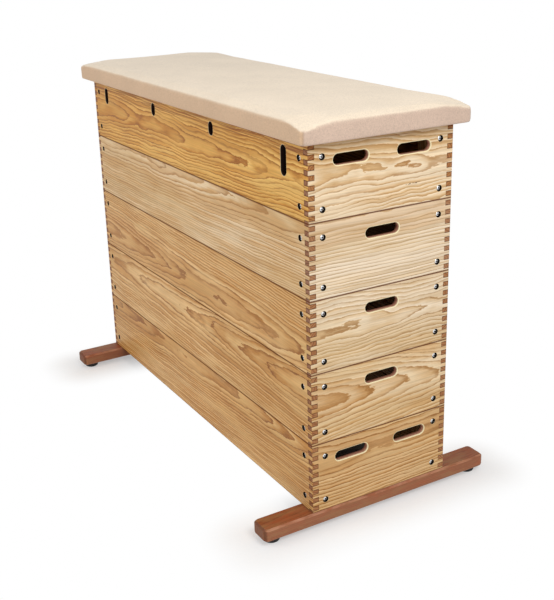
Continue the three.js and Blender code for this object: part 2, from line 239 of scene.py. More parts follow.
def wood_group():
    """Wood cut from a log: growth rings round a wandering pith, fibres and darker end grain.

    The grain runs along the point's X. The pith lies at Y = Z = 0, after the caller's shift."""
    tree = bpy.data.node_groups.new("sawn_wood", "ShaderNodeTree")
    sockets = [
        ("INPUT", "Vector", ("Point", "Normal", "Pith")),
        ("INPUT", "Float", ("Seed", *CUT_NAMES)),
        ("INPUT", "Color", RING_COLOURS),
        ("OUTPUT", "Color", ("Color",)),
        ("OUTPUT", "Float", ("Relief", "Roughness")),
    ]
    for way, kind, names in sockets:
        for name in names:
            tree.interface.new_socket(name, in_out=way, socket_type="NodeSocket" + kind)
    w = Wires(tree)
    given = w.node("NodeGroupInput").outputs
    point = w.combined("SUBTRACT", given["Point"], given["Pith"])
    x, across, deep = w.split(point)
    seed = given["Seed"]
    away = w.vector(w.times(seed, 3.1), w.times(seed, 1.7), seed)
    spot = w.combined("ADD", point, away)

    # the pith wanders slowly along the board, and the rings ripple round old branches
    y, z = across, deep
    wanderings = [
        ("Wander", (1.0, 1.2, 1.2), 1.0, 0.5),
        ("Wave", (5.0, 9.0, 9.0), 2.0, 0.45),
        ("Jag", (22.0, 75.0, 75.0), 3.0, 0.6),
    ]
    for size, factors, detail, roughness in wanderings:
        part_y, part_z, _ = w.split(w.streaks(spot, factors, detail, roughness, "Color"))
        y = w.plus(y, w.times(w.minus(part_y, 0.5), given[size]))
        z = w.plus(z, w.times(w.minus(part_z, 0.5), given[size]))
    radius = w.plus(w.diagonal(y, z), w.times(x, given["Taper"]))
    uneven = w.noise(w.vector(radius, seed, 0.7), 38.0, 1.0)
    phase = w.plus(w.math("DIVIDE", radius, given["Ring"]), w.times(uneven, 1.6))
    ring = w.math("FLOOR", phase)
    place = w.math("FRACT", phase)
    chance = w.chance(w.vector(ring, seed, 0.0), "2D")

    # each ring darkens slowly, then ends in a dark line of its own width
    start = w.plus(0.42, w.times(chance, 0.34))
    late = w.times(w.smooth(place, start, 0.93), w.fade(place, 0.95, 1.0))
    fading = w.streaks(spot, (5.0, 16.0, 16.0))
    strength = w.times(given["Contrast"], w.smooth(fading, 0.3, 0.65, 0.45, 1.0))
    strength = w.times(strength, w.plus(0.5, w.times(chance, 0.5)))
    late = w.times(late, strength, clamp=True)
    warm = w.smooth(place, 0.02, 0.75)
    patch = w.streaks(spot, (3.2, 22.0, 22.0), 3.0, 0.6)
    warm = w.times(warm, w.smooth(patch, 0.32, 0.62, 0.2, 1.0))
    # here and there a whole ring is tan from line to line
    flame = w.smooth(w.chance(w.vector(ring, 7.5, seed), "3D"), 0.55, 0.85)
    flame = w.times(flame, w.smooth(fading, 0.35, 0.6, 0.15, 0.8))
    warm = w.larger(warm, flame)
    colour = w.mix(warm, given["Early"], given["Middle"])
    # heartwood inside a certain ring is tanner
    within = w.minus(given["Heart"], w.plus(radius, w.times(patch, 0.03)))
    heart = w.smooth(within, -0.018, -0.012)
    colour = w.mix(w.times(heart, 0.8), colour, w.scaled(colour, (0.84, 0.73, 0.6)))
    colour = w.mix(late, colour, given["Late"])

    # fibres and resin streaks along the grain
    fibre = w.streaks(spot, (9.0, 620.0, 620.0), 3.0, 0.6)
    band = w.smooth(w.streaks(spot, (5.0, 170.0, 170.0)), 0.3, 0.7, 0.92, 1.06)
    streak = w.smooth(w.streaks(spot, (14.0, 900.0, 900.0), 1.0), 0.7, 0.8, 1.0, 0.86)
    tone = w.streaks(spot, (1.3, 9.0, 9.0))
    tint = w.mix(w.smooth(tone, 0.32, 0.68), (0.91, 0.85, 0.74, 1.0), (1.06, 1.08, 1.15, 1.0))
    shade = w.times(w.times(w.smooth(fibre, 0.25, 0.75, 0.88, 1.07), streak), band)
    colour = w.shaded(w.scaled(colour, tint), shade)

    # end grain soaks up more finish
    end = w.smooth(w.absolute(w.split(given["Normal"])[0]), *END_GRAIN)
    end_colour = w.mix(0.75, colour, w.mix(late, srgb(160, 106, 74), srgb(92, 50, 34)))
    colour = w.mix(end, colour, end_colour)
    relief = w.plus(w.times(late, 0.6), w.times(fibre, 0.5))
    rough = w.plus(w.times(fibre, 0.16), w.times(end, 0.2))
    rough = w.plus(rough, w.minus(0.4, w.times(late, 0.08)))
    w.node("NodeGroupOutput", {"Color": colour, "Relief": relief, "Roughness": rough})
    return tree


SAWN_WOOD = wood_group()


def grain(w, point, normal, pith, cut, colours, seed):
    """The wood group in a material. The cut has a value for each of CUT_NAMES, its lengths in metres."""
    made = w.node("ShaderNodeGroup", node_tree=SAWN_WOOD)
    values = {"Point": point, "Normal": normal, "Pith": pith, "Seed": float(seed)}
    values.update(zip(CUT_NAMES, cut))
    values.update(zip(RING_COLOURS, colours))
    w.fill(made, values)
    return made.outputs


def finish_wood(w, shader, colour, relief, roughness, bump=0.35):
    w.fill(shader, {
        "Base Color": colour, "Roughness": roughness, "Normal": w.bump(relief, bump, 0.0004),
        "Specular IOR Level": 0.16, "Coat Weight": 0.04, "Coat Roughness": 0.3,
    })


FAIR = (srgb(234, 212, 176), srgb(212, 174, 122), srgb(164, 114, 56))
ASHEN = (srgb(236, 218, 190), srgb(217, 190, 149), srgb(168, 127, 80))
TAN = (srgb(226, 184, 122), srgb(190, 132, 62), srgb(142, 82, 12))
GOLDEN = (srgb(238, 193, 110), srgb(208, 147, 62), srgb(150, 84, 4))
HONEY = (srgb(233, 199, 147), srgb(208, 156, 90), srgb(148, 90, 20))


def blended(low, high, share):
    return tuple(tuple(a + (b - a) * share for a, b in zip(one, two)) for one, two in zip(low, high))


# The two distances in metres between which a board's markings fade in or out
SEAM = (0.0007, 0.0032)
NOTCH = (0.0003, 0.0014)
RIM_HIGHLIGHT_START = (0.00002, 0.0002)
BORE_SHADE_START = (0.0003, 0.0006)
HOLE_SHADE_DEPTHS = (0.004, 0.016)
# Where a hole's rim turns to wall, and the wall's colours near and deep; the deep colours and the near
# black of the sides are painted shade
END_HOLES = (0.0026, 0.0034), srgb(196, 144, 120), srgb(136, 88, 70)
SIDE_HOLES = (0.0002, 0.0007), srgb(44, 27, 22), srgb(26, 18, 15)


def board_material(name, length, pith, cut, colours, seed, is_end, resin, pad_shadow_streaks):
    """Varnished pine for one board: its own cut of the log, dark joints, a painted highlight on the rims
    of the holes, and painted shade in the holes, in the bores, on the inside faces and under the pad.
    """
    material, w, shader = new_material(name)
    point = w.object_point()
    normal = w.object_normal()
    x, depth, height = w.split(point)
    # pith: height in the board and depth behind its face
    centre = (0.0, pith[0] * MM, pith[1] * MM)
    ring, taper, wander, wave, jag, heart, contrast = cut
    values = (ring * MM, taper, wander * MM, wave * MM, jag * MM, heart * MM, contrast)
    colour, relief, rough = grain(w, w.vector(x, height, depth), normal, centre, values, colours, seed)

    # the end grain of the fingers is darker, on the end boards most of all
    cut_end = w.smooth(w.absolute(w.split(normal)[0]), *END_GRAIN)
    darker = (0.7, 0.6, 0.58) if is_end else (0.88, 0.83, 0.8)
    colour = w.mix(cut_end, colour, w.scaled(colour, darker))

    if resin:
        place, level, half_length, half_height = (size * MM for size in resin)
        streak = w.smooth(w.apart(x, place), half_length * 0.8, half_length, 0.8, 0.0)
        thin = w.fade(w.apart(height, level), half_height * 0.4, half_height)
        streak = w.times(streak, thin)
        dash = w.smooth(w.streaks(point, (110.0, 1.0, 300.0), 1.0), 0.46, 0.56)
        colour = w.mix(w.times(streak, dash), colour, srgb(72, 46, 28))

    if pad_shadow_streaks:
        # painted shadow of the pad along the top edge, mixed with dark streaks in the wood
        streaky = w.streaks(point, (4.0, 1.0, 300.0), 1.0)
        high = w.smooth(height, *((SECTION_HEIGHT - below) * MM for below in pad_shadow_streaks))
        high = w.times(high, w.smooth(streaky, 0.48, 0.6, 0.1, 0.8))
        colour = w.mix(high, colour, srgb(128, 62, 14))

    along = w.absolute(x)
    comb_start = (length / 2 - BOARD_THICKNESS) * MM
    in_comb = w.smooth(along, comb_start - 0.0012, comb_start - 0.0004)
    in_field = w.fade(along, comb_start - 0.003, comb_start - 0.002)
    from_edge = w.math("MINIMUM", height, w.minus(SECTION_HEIGHT * MM, height))

    # brown lines where sections meet and round the fingers of the comb
    seam = w.fade(from_edge, *SEAM)
    phase = w.math("FRACT", w.math("DIVIDE", height, SECTION_HEIGHT * MM / FINGERS))
    to_middle = w.apart(phase, 0.5)
    outline = w.times(in_comb, w.fade(w.apart(to_middle, 0.25), 0.015, 0.06))
    notch = w.smooth(w.apart(along, comb_start), *NOTCH, 0.7, 0.0)
    in_notch = w.fade(to_middle, 0.23, 0.25) if is_end else w.smooth(to_middle, 0.25, 0.27)
    outline = w.larger(outline, w.times(notch, in_notch))
    joint = w.larger(seam, outline)
    line = w.mix(outline, srgb(104, 54, 26), srgb(84, 44, 26))
    colour = w.mix(w.times(joint, 0.84), colour, line)

    # pale rims round the holes are a painted highlight; then walls: brown in the ends and darker deeper
    # in, nearly black in the sides; the darkening and the black are painted shade
    hollow = w.times(in_field, w.smooth(from_edge, 0.003, 0.005))
    # painted shade: the faces inside the box are darker
    back = w.smooth(w.split(normal)[1], 0.3, 0.7)
    colour = w.mix(back, colour, w.scaled(colour, (0.58, 0.5, 0.42)))
    hollow = w.times(hollow, w.minus(1.0, back))
    rim, wall_near, wall_deep_shade = END_HOLES if is_end else SIDE_HOLES
    bore_start = (length / 2 - POST_INSET - BORE_ROOM) * MM
    at_bore = w.smooth(along, bore_start, bore_start + 0.001)
    # painted highlight on the eased rim of each hole
    rim_highlight = w.times(w.smooth(depth, *RIM_HIGHLIGHT_START), w.smooth(depth, *rim, 0.85, 0.0))
    colour = w.mix(w.times(rim_highlight, hollow), colour, srgb(250, 238, 196))
    wall = w.mix(w.smooth(depth, *HOLE_SHADE_DEPTHS), wall_near, wall_deep_shade)
    # bore walls near black: painted shade over darkened end grain
    wall = w.mix(at_bore, wall, srgb(34, 22, 18))
    inner = w.mix(at_bore, w.smooth(depth, *rim), w.smooth(depth, *BORE_SHADE_START))
    colour = w.mix(w.times(inner, hollow), colour, wall)
    finish_wood(w, shader, colour, relief, w.plus(rough, w.times(joint, 0.3)))
    return material


# Mesh building

NO_AREA = 1e-9
IN_LINE = 1e-3


class Shell:
    """Points in millimetres and faces of one closed mesh."""

    def __init__(self):
        self.points = []
        self.faces = []

    def ring(self, flat, depth):
        start = len(self.points)
        self.points += [(x, depth, z) for x, z in flat]
        return list(range(start, len(self.points)))

    def walls(self, rings):
        for near, far in zip(rings, rings[1:]):
            for k in range(len(near)):
                self.faces.append((near[k - 1], far[k - 1], far[k], near[k]))

    def cap(self, loops, facing_out):
        """Fills the first loop, less the others."""
        flat = [[Vector((self.points[i][0], self.points[i][2], 0.0)) for i in loop] for loop in loops]
        names = [i for loop in loops for i in loop]
        spots = [p for loop in flat for p in loop]
        for a, b, c in tessellate_polygon(flat):
            area = (spots[b] - spots[a]).cross(spots[c] - spots[a]).z
            if abs(area) > NO_AREA:
                turn = (a, b, c) if (area > 0) == facing_out else (a, c, b)
                self.faces.append(tuple(names[i] for i in turn))


def inset(points, eases):
    """Moves each edge of a closed outline into the wood by its ease, and meets the neighbours again."""
    normals = []
    for (x0, z0), (x1, z1) in zip(points, points[1:] + points[:1]):
        length = math.hypot(x1 - x0, z1 - z0)
        normals.append((-(z1 - z0) / length, (x1 - x0) / length))
    moved = []
    for k, (x, z) in enumerate(points):
        (ax, az), (bx, bz) = normals[k - 1], normals[k]
        a, b = eases[k - 1], eases[k]
        turn = ax * bz - az * bx
        if abs(turn) < IN_LINE:
            dx, dz = ax * (a + b) / 2, az * (a + b) / 2
        else:
            dx, dz = (a * bz - b * az) / turn, (b * ax - a * bx) / turn
        moved.append((x + dx, z + dz))
    return moved


EASE_STEPS = (0, 30, 60, 90)


def eased_wall(shell, outline, eases, depth, thickness, back_depth):
    """One outline carried through the board, rounded at both faces. Returns its two end rings."""
    back_eases = [min(ease, back_depth) for ease in eases]
    steps = [(angle, eases, 0, depth) for angle in EASE_STEPS]
    steps += [(angle, back_eases, thickness, -back_depth) for angle in reversed(EASE_STEPS[::3])]
    rings = []
    for angle, sizes, start, reach in steps:
        angle = math.radians(angle)
        flat = inset(outline, [size * (1 - math.sin(angle)) for size in sizes])
        rings.append(shell.ring(flat, start + reach * (1 - math.cos(angle))))
    shell.walls(rings)
    return rings[0], rings[-1]


def arc(x, z, radius, start, end, steps):
    angles = [math.radians(start + (end - start) * k / steps) for k in range(steps + 1)]
    return [(x + radius * math.cos(angle), z + radius * math.sin(angle)) for angle in angles]


def round_ended(x, z, length, height, steps=14):
    """A hole's outline with two round ends, clockwise."""
    radius = min(length, height) / 2
    if length > height:
        reach = length / 2 - radius
        return arc(x - reach, z, radius, 270, 90, steps) + arc(x + reach, z, radius, 90, -90, steps)
    reach = height / 2 - radius
    return arc(x, z + reach, radius, 180, 0, steps) + arc(x, z - reach, radius, 0, -180, steps)


def slab(outline, eases, thickness, ease_depth, holes=(), bores=(), back_depth=BACK_EASE):
    """A board that lies behind its outline, which runs anticlockwise seen from the face at depth 0."""
    shell = Shell()
    front, back = eased_wall(shell, outline, eases, ease_depth, thickness, back_depth)
    fronts, backs = [front], [back]
    for loop, ease in holes:
        near, far = eased_wall(shell, loop, [ease] * len(loop), ease, thickness, ease)
        fronts.append(near)
        backs.append(far)
    for x, z, radius, depth, rim in bores:
        rings = []
        for at, wider in ((0, rim), (rim * 0.3, rim * 0.3), (rim, 0), (depth, 0)):
            loop = arc(x, z, radius + wider, 360, 0, BORE_SIDES)[:-1]
            rings.append(shell.ring(loop, at))
        shell.walls(rings)
        fronts.append(rings[0])
        shell.faces.append(tuple(reversed(rings[-1])))
    shell.cap(fronts, True)
    shell.cap(backs, False)
    return shell


def mesh_from(name, points, faces, smooth_angle=40):
    """A mesh in metres with smooth shading up to an angle between faces."""
    mesh = bpy.data.meshes.new(name)
    mesh.from_pydata([tuple(c * MM for c in p) for p in points], [], faces)
    mesh.update()
    mesh.shade_smooth()
    mesh.set_sharp_from_angle(angle=math.radians(smooth_angle))
    return mesh


def added(name, data):
    made = bpy.data.objects.new(name, data)
    bpy.context.scene.collection.objects.link(made)
    return made


def evaluated(thing):
    """The mesh of an object with its modifiers applied."""
    graph = bpy.context.evaluated_depsgraph_get()
    graph.update()
    return bpy.data.meshes.new_from_object(thing.evaluated_get(graph))


def lofted(rings):
    """Points and faces of a closed shape from its rings. The first and the last are single points."""
    points, faces, loops = [], [], []
    for ring in rings:
        loops.append(range(len(points), len(points) + len(ring)))
        points += ring
    for low, high in zip(loops, loops[1:]):
        for k in range(max(len(low), len(high))):
            a, b = low[k % len(low)], low[(k + 1) % len(low)]
            c, d = high[k % len(high)], high[(k + 1) % len(high)]
            faces.append(tuple(dict.fromkeys((a, b, d, c))))
    return points, faces


def piece(name, mesh, slot, *materials, weighted=True):
    """One visible piece, to be placed and then settled."""
    made = added(name, mesh)
    for material in materials:
        mesh.materials.append(material)
    if weighted:
        configure(made.modifiers.new("flat_faces", "WEIGHTED_NORMAL"), keep_sharp=True)
    return made


def settle(made, body, replaced=()):
    """The piece rides on its body, and stands in for the solids that it replaces."""
    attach(made, body)
    if replaced:
        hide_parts(*replaced)


def comb(length, ends_in_wood, gap):
    """The outline of a board with its comb at both ends, anticlockwise, and each edge's ease."""
    notch = BOARD_THICKNESS + SEAT_GAP
    pitch = SECTION_HEIGHT / FINGERS
    rest, step = (0, notch) if ends_in_wood else (notch, 0)
    edge = [(rest, 0)]
    for k in range(FINGERS):
        low = (k + FINGER_SHARES[0]) * pitch + gap
        high = (k + FINGER_SHARES[1]) * pitch - gap
        edge += [(rest, low), (step, low), (step, high), (rest, high)]
    edge.append((rest, SECTION_HEIGHT))
    right = [(length / 2 - back, z) for back, z in edge]
    left = [(back - length / 2, z) for back, z in reversed(edge)]
    outline = right + left
    eases = []
    for (x0, z0), (x1, z1) in zip(outline, outline[1:] + outline[:1]):
        if z0 == z1 and z0 in (0, SECTION_HEIGHT):
            eases.append(EDGE_EASE)
        elif x0 == x1 and abs(x0) == length / 2:
            eases.append(CORNER_EASE)
        else:
            eases.append(FINGER_EASE)
    return outline, eases


def board_mesh(name, length, ends_in_wood, holes, screw_heights):
    outline, eases = comb(length, ends_in_wood, 0 if ends_in_wood else SEAT_GAP)
    along = length / 2 - POST_INSET
    bores = [(x, z, BORE_RADIUS, BORE_DEPTH, BORE_RIM) for z in screw_heights for x in (-along, along)]
    made = slab(outline, eases, BOARD_THICKNESS, EASE_DEPTH, holes, bores)
    return mesh_from(name, made.points, made.faces)


def end_holes(level):
    z = SECTION_HEIGHT - HAND_HOLE_BELOW_TOP
    places = (-HAND_HOLE_APART, HAND_HOLE_APART) if level in (1, SECTION_COUNT) else (0,)
    return [(round_ended(x, z, *HAND_HOLE), HAND_HOLE_EASE) for x in places]


def side_holes(level):
    if level != SECTION_COUNT:
        return []
    return [
        (round_ended(x, SECTION_HEIGHT - SLOT_BELOW_TOP - height / 2, SLOT_WIDTH, height), SLOT_EASE)
        for x, height in zip(SLOT_PLACES, SLOT_HEIGHTS)
    ]


# In millimetres: pith height and depth; ring, taper, wander, wave, jag, heart and contrast; colours; seed
CUTS = {
    (5, "front"): ((112, 36), (9.6, 0.06, 50, 54, 8, 0, 1.0), blended(FAIR, ASHEN, 0.1), 1),
    (4, "front"): ((212, 52), (8.4, 0.02, 26, 16, 4, 88, 1.0), ASHEN, 2),
    (3, "front"): ((108, 44), (9.0, 0.03, 40, 36, 8, 36, 1.0), blended(ASHEN, FAIR, 0.3), 3),
    (2, "front"): ((116, 52), (9.0, 0.09, 34, 18, 8, 58, 0.95), blended(FAIR, TAN, 0.12), 4),
    (1, "front"): ((150, 58), (8.6, 0.015, 20, 16, 6, 62, 1.3), blended(FAIR, TAN, 0.5), 5),
    (5, "left"): ((104, 52), (8.0, 0.028, 40, 26, 7, 60, 1.2), GOLDEN, 6),
    (4, "left"): ((196, 74), (6.6, 0.022, 34, 16, 4, 0, 0.95), blended(HONEY, FAIR, 0.6), 7),
    (3, "left"): ((60, 70), (7.2, 0.03, 36, 15, 6, 78, 1.1), blended(HONEY, TAN, 0.6), 8),
    (2, "left"): ((150, 54), (8.0, -0.034, 40, 16, 7, 20, 1.1), blended(HONEY, TAN, 0.62), 9),
    (1, "left"): ((184, 62), (6.6, 0.03, 34, 14, 6, 62, 1.05), blended(TAN, HONEY, 0.12), 10),
}
# Resin streak: place along the board, height, half length, half height
RESIN = {(5, "front"): (92, 56, 24, 2.4)}
# Painted shadow of the pad mixed with dark streaks in the wood, on the sides and on the ends: from and to
# how far below the top edge
PAD_SHADOW_STREAKS = ((52, 26), (18, 12))
# Each side's length, distance from the middle, turn about Z and heights of its screws
SIDES = {
    "front": (BOX_WIDTH, BOX_LENGTH / 2, 90, END_SCREW_HEIGHTS),
    "rear": (BOX_WIDTH, BOX_LENGTH / 2, 270, END_SCREW_HEIGHTS),
    "left": (BOX_LENGTH, BOX_WIDTH / 2, 0, SIDE_SCREW_HEIGHTS),
    "right": (BOX_LENGTH, BOX_WIDTH / 2, 180, SIDE_SCREW_HEIGHTS),
}


def cut_of(level, side):
    """The boards that the picture doesn't show are cut much like those opposite them."""
    if (level, side) in CUTS:
        return CUTS[level, side]
    twin = {"rear": "front", "right": "left"}[side]
    pith, (ring, taper, *rest), colours, seed = CUTS[level, twin]
    pith = (SECTION_HEIGHT - pith[0] + random.uniform(-25, 25), pith[1] + random.uniform(-4, 10))
    return pith, (ring * random.uniform(0.9, 1.15), -taper, *rest), colours, seed + 20


def build_boards():
    for level, body in BODIES.items():
        bottom = STACK_BOTTOM + (level - 1) * SECTION_PITCH
        for side, (length, reach, turn, heights) in SIDES.items():
            is_end = side in ("front", "rear")
            holes = end_holes(level) if is_end else side_holes(level)
            node = f"section_{level}_board_{side}"
            mesh = board_mesh(node + "_mesh", length, is_end, holes, heights)
            pith, cut, colours, seed = cut_of(level, side)
            resin = RESIN.get((level, side))
            pad_shadow_streaks = PAD_SHADOW_STREAKS[is_end] if level == SECTION_COUNT else None
            material = board_material(
                f"pine_{level}_{side}", length, pith, cut, colours, seed, is_end, resin, pad_shadow_streaks)
            made = piece(f"pine_board_{level}_{side}", mesh, "pine", material)
            made.matrix_world = rotation(turn, "Z") @ Matrix.Translation((0, -reach * MM, bottom * MM))
            settle(made, body, [node])


# Screws

def turned(profile, sides):
    """A closed turned shape about Z: radius and height pairs, from the axis below to the axis above."""
    rings = []
    for radius, height in profile:
        angles = [2 * math.pi * k / sides for k in range(sides if radius else 1)]
        rings.append([(radius * math.cos(angle), radius * math.sin(angle), height) for angle in angles])
    return lofted(rings)


HEAD_PROFILE = [
    (0, 0), (6.5, 0), (6.9, 0.4), (6.9, 1.4), (6.6, 2.6), (5.7, 3.8), (4.3, 4.6), (2.3, 5.1), (0, 5.2),
]
HEAD_DOME = HEAD_PROFILE[3:]
HEAD_SIDES = 32
RECESS_SIZE = (7.4, 2.6, 5.0)
RECESS_MIDDLE = 5.0
RECESS_TAPER = 0.55
RECESS_REACH = 4
RECESS_RIM = 0.25


def screw_head():
    """A pan head with a cross recess: points, faces, and 1 for each face in the recess."""
    head = added("head", mesh_from("head", *turned(HEAD_PROFILE, HEAD_SIDES)))
    cutter_mesh = bpy.data.meshes.new("cross")
    bm = bmesh.new()
    size = Matrix.Diagonal((*(length * MM for length in RECESS_SIZE), 1.0))
    place = Matrix.Translation((0, 0, RECESS_MIDDLE * MM))
    for turn in (0, 90):
        bmesh.ops.create_cube(bm, size=1.0, matrix=place @ rotation(turn, "Z") @ size)
    for vertex in bm.verts:
        if vertex.co.z < RECESS_MIDDLE * MM:
            vertex.co.x *= RECESS_TAPER
            vertex.co.y *= RECESS_TAPER
    bm.to_mesh(cutter_mesh)
    bm.free()
    cutter = added("cross", cutter_mesh)
    recess = head.modifiers.new("recess", "BOOLEAN")
    configure(recess, operation="DIFFERENCE", solver="EXACT", use_self=True, object=cutter)
    result = evaluated(head)
    points = np.array([v.co for v in result.vertices]) / MM
    faces = [tuple(p.vertices) for p in result.polygons]
    sunk = []
    for polygon in result.polygons:
        off = math.hypot(polygon.center.x, polygon.center.y) / MM
        surface = np.interp(off, *zip(*reversed(HEAD_DOME)))
        sunk.append(int(off < RECESS_REACH and polygon.center.z / MM < surface - RECESS_RIM))
    for thing in (head, cutter):
        bpy.data.objects.remove(thing)
    return points, faces, sunk


def build_screws(material, recess):
    points, faces, sunk = screw_head()
    for level, body in BODIES.items():
        bottom = STACK_BOTTOM + (level - 1) * SECTION_PITCH
        all_points, all_faces, all_sunk = [], [], []
        for length, reach, turn, heights in SIDES.values():
            facing = rotation(turn, "Z") @ Matrix.Translation((0, -reach, bottom))
            along = length / 2 - POST_INSET
            for z in heights:
                for x in (-along, along):
                    spin = Matrix.Rotation(random.uniform(0, math.pi), 4, "Z")
                    local = Matrix.Translation((x, BORE_DEPTH, z)) @ rotation(90, "X") @ spin
                    world = np.array(facing @ local)
                    start = len(all_points)
                    all_points += [tuple(p) for p in points @ world[:3, :3].T + world[:3, 3]]
                    all_faces += [tuple(i + start for i in face) for face in faces]
                    all_sunk += sunk
        mesh = mesh_from(f"screws_{level}_mesh", all_points, all_faces, smooth_angle=35)
        made = piece(f"corner_screws_{level}", mesh, "zinc", material, recess)
        mesh.polygons.foreach_set("material_index", all_sunk)
        settle(made, body)


# Beams and feet

def rounded_outline(length, width, radius, steps=8):
    x, z = length / 2 - radius, width / 2 - radius
    outline = []
    for sx, sz, start in ((1, -1, 270), (1, 1, 0), (-1, 1, 90), (-1, -1, 180)):
        outline += arc(sx * x, sz * z, radius, start, start + 90, steps)
    return outline


def build_beams():
    """Each beam is drawn lying on its underside: X along it, the drawing's depth upwards."""
    outline = rounded_outline(BEAM_LENGTH, BEAM_WIDTH, BEAM_CORNER)
    eases = [BEAM_LOWER_EDGE] * len(outline)
    screw = (BEAM_SCREW[1], BEAM_MIDDLE - BEAM_SCREW[0], *BEAM_SCREW_BORE)
    foot = (BEAM_LENGTH / 2 - FOOT_INSET, 0, *FOOT_BORE)
    bores = [(x * side, *rest) for x, *rest in (screw, foot) for side in (-1, 1)]
    shell = slab(outline, eases, BEAM_HEIGHT, BEAM_LOWER_EDGE, bores=bores, back_depth=BEAM_EDGE)
    for name, side in (("front", 1), ("rear", -1)):
        mesh = mesh_from(f"beam_{name}_mesh", shell.points, shell.faces)
        made = piece(f"hardwood_beam_{name}", mesh, "hardwood", hardwood_material(side))
        # the drawing's face looks down, its X runs across the box and its Z towards the middle
        made.matrix_world = Matrix((
            (0, 0, -side, side * BEAM_MIDDLE * MM),
            (side, 0, 0, 0),
            (0, 1, 0, BEAM_BOTTOM * MM),
            (0, 0, 0, 1),
        ))
        settle(made, BODIES[1], [f"beam_{name}"])


FOOT_PROFILE = [
    (0, 0), (17, 0), (20.2, 0.5), (21.6, 1.4), (22.4, 2.8), (23, 5), (23, 11.5), (22.6, 13.4),
    (21.6, 14.6), (20, 15), (5, 15), (5, 30.4), (4.4, 31), (0, 31),
]


def build_feet(material):
    for name, (sx, sy) in CORNERS.items():
        mesh = mesh_from(f"foot_{name}_mesh", *turned(FOOT_PROFILE, FOOT_SIDES), smooth_angle=45)
        made = piece(f"rubber_foot_{name}", mesh, "rubber", material)
        made.location = (sx * BEAM_MIDDLE * MM, sy * (BEAM_LENGTH / 2 - FOOT_INSET) * MM, 0)
        settle(made, BODIES[1], [f"foot_{name}"])


# Padded top

PAD_HALF = (735, 255)
PAD_CORNER = 16
PAD_LEAST_CORNER = 4
PAD_TOP = STACK_TOP + 60
PAD_CROWN = 6
PAD_DROPS = (12, 8, 8, 14)
PAD_DROP_REACH = 85
PAD_DRAW = 3
PAD_DRAW_REACH = 220
PAD_EDGE = 8
PAD_LEATHER = 2.5
PAD_STEP = 12
CORNER_STEPS = 8
SIDE_STEPS = 4
EDGE_STEPS = 5
# Across the top: share of the way to the middle, and share of the corners' drop that is left there
CROWN = ((0.04, 0.8), (0.09, 0.55), (0.16, 0.3), (0.26, 0.1), (0.4, 0), (0.6, 0), (0.8, 0))
UNDER_INSET = 60
UNDER_EDGE = 3
HEM_WIDTH = 28
FACING_DOWN = -0.6
DECK_TOP = STACK_TOP + 15.3
VOXEL = 6.5
# The form starts out flatter, in part at the shoulder, and then swells
PAD_FLATTER = 2
SHOULDER_SHARE = 0.4
PAD_SWELL = 2.5
HELD_DEPTH = 5.5
CLOTH_PRESSURE = 4.0
CLOTH_FRAMES = 20
# The hide's unevenness: its height, its waves to the metre and how much finer they are on the sides
TOP_UNEVEN = 0.6
SIDE_UNEVEN = 0.7
WAVES = 14
SIDE_FINER = 2.6
SIDE_BAND = 12
FADE_HEIGHT = 12
FOLD_DEPTH = 2.6
FOLD_WIDTH = 8
FOLD_ZONE = 4.8


def pad_outline():
    """Stations round the pad: corner, angle, share of the way to the next corner, drop and draw-in."""
    stations = []
    for corner in range(4):
        for k in range(CORNER_STEPS + 1):
            angle = (corner + k / CORNER_STEPS) * math.pi / 2
            stations.append((corner, angle, 0.0, PAD_DROPS[corner], 0.0))
        straight = 2 * (PAD_HALF[(corner + 1) % 2 == 0] - PAD_CORNER)
        count = round(straight / PAD_STEP)
        for k in range(1, count):
            share = k / count
            distance = min(share, 1 - share) * straight
            drop = PAD_DROPS[(corner + round(share)) % 4] * max(0.0, 1 - distance / PAD_DROP_REACH) ** 2
            draw = 1 - max(0.0, 1 - distance / PAD_DRAW_REACH) ** 2
            stations.append((corner, (corner + 1) * math.pi / 2, share, drop, draw))
    return stations


def pad_ring(stations, far_in, height, draw_share=0.0, drop_share=0.0):
    radius = max(PAD_CORNER - far_in, PAD_LEAST_CORNER)
    cx, cy = (half - far_in - radius for half in PAD_HALF)
    quarter = [(1, 1), (-1, 1), (-1, -1), (1, -1)]
    points = []
    for corner, angle, share, drop, draw in stations:
        (sx, sy), (tx, ty) = quarter[corner], quarter[(corner + 1) % 4]
        pulled = radius - PAD_DRAW * draw_share * draw
        points.append((
            cx * (sx + (tx - sx) * share) + pulled * math.cos(angle),
            cy * (sy + (ty - sy) * share) + pulled * math.sin(angle),
            height - drop_share * drop,
        ))
    return points


def pad_form(flatter):
    """The closed outer form of the padded top, with its crown flatter than the real one by a little."""
    stations = pad_outline()
    base = STACK_TOP - PAD_LEATHER
    shoulder = PAD_TOP - PAD_CROWN - flatter * SHOULDER_SHARE
    side_top = shoulder - PAD_EDGE
    lower = ((UNDER_INSET, base), (UNDER_EDGE, base), (0, base + UNDER_EDGE), (0, DECK_TOP))
    rings = [[(0, 0, base)]]
    rings += [pad_ring(stations, far_in, height) for far_in, height in lower]
    for k in range(1, SIDE_STEPS + 1):
        share = k / SIDE_STEPS
        rings.append(pad_ring(stations, 0, DECK_TOP + (side_top - DECK_TOP) * share, share, share))
    for k in range(1, EDGE_STEPS + 1):
        angle = k / EDGE_STEPS * math.pi / 2
        far_in = PAD_EDGE * (1 - math.cos(angle))
        rings.append(pad_ring(stations, far_in, side_top + PAD_EDGE * math.sin(angle), 1, 1))
    wide = PAD_HALF[1] - PAD_EDGE
    crown = PAD_CROWN - flatter * (1 - SHOULDER_SHARE)
    for share, drop in CROWN:
        height = shoulder + crown * (1 - (1 - share) ** 2)
        rings.append(pad_ring(stations, PAD_EDGE + share * wide, height, 1 - share, drop))
    rings.append([(0, 0, PAD_TOP - flatter)])
    return mesh_from("pad_form", *lofted(rings))


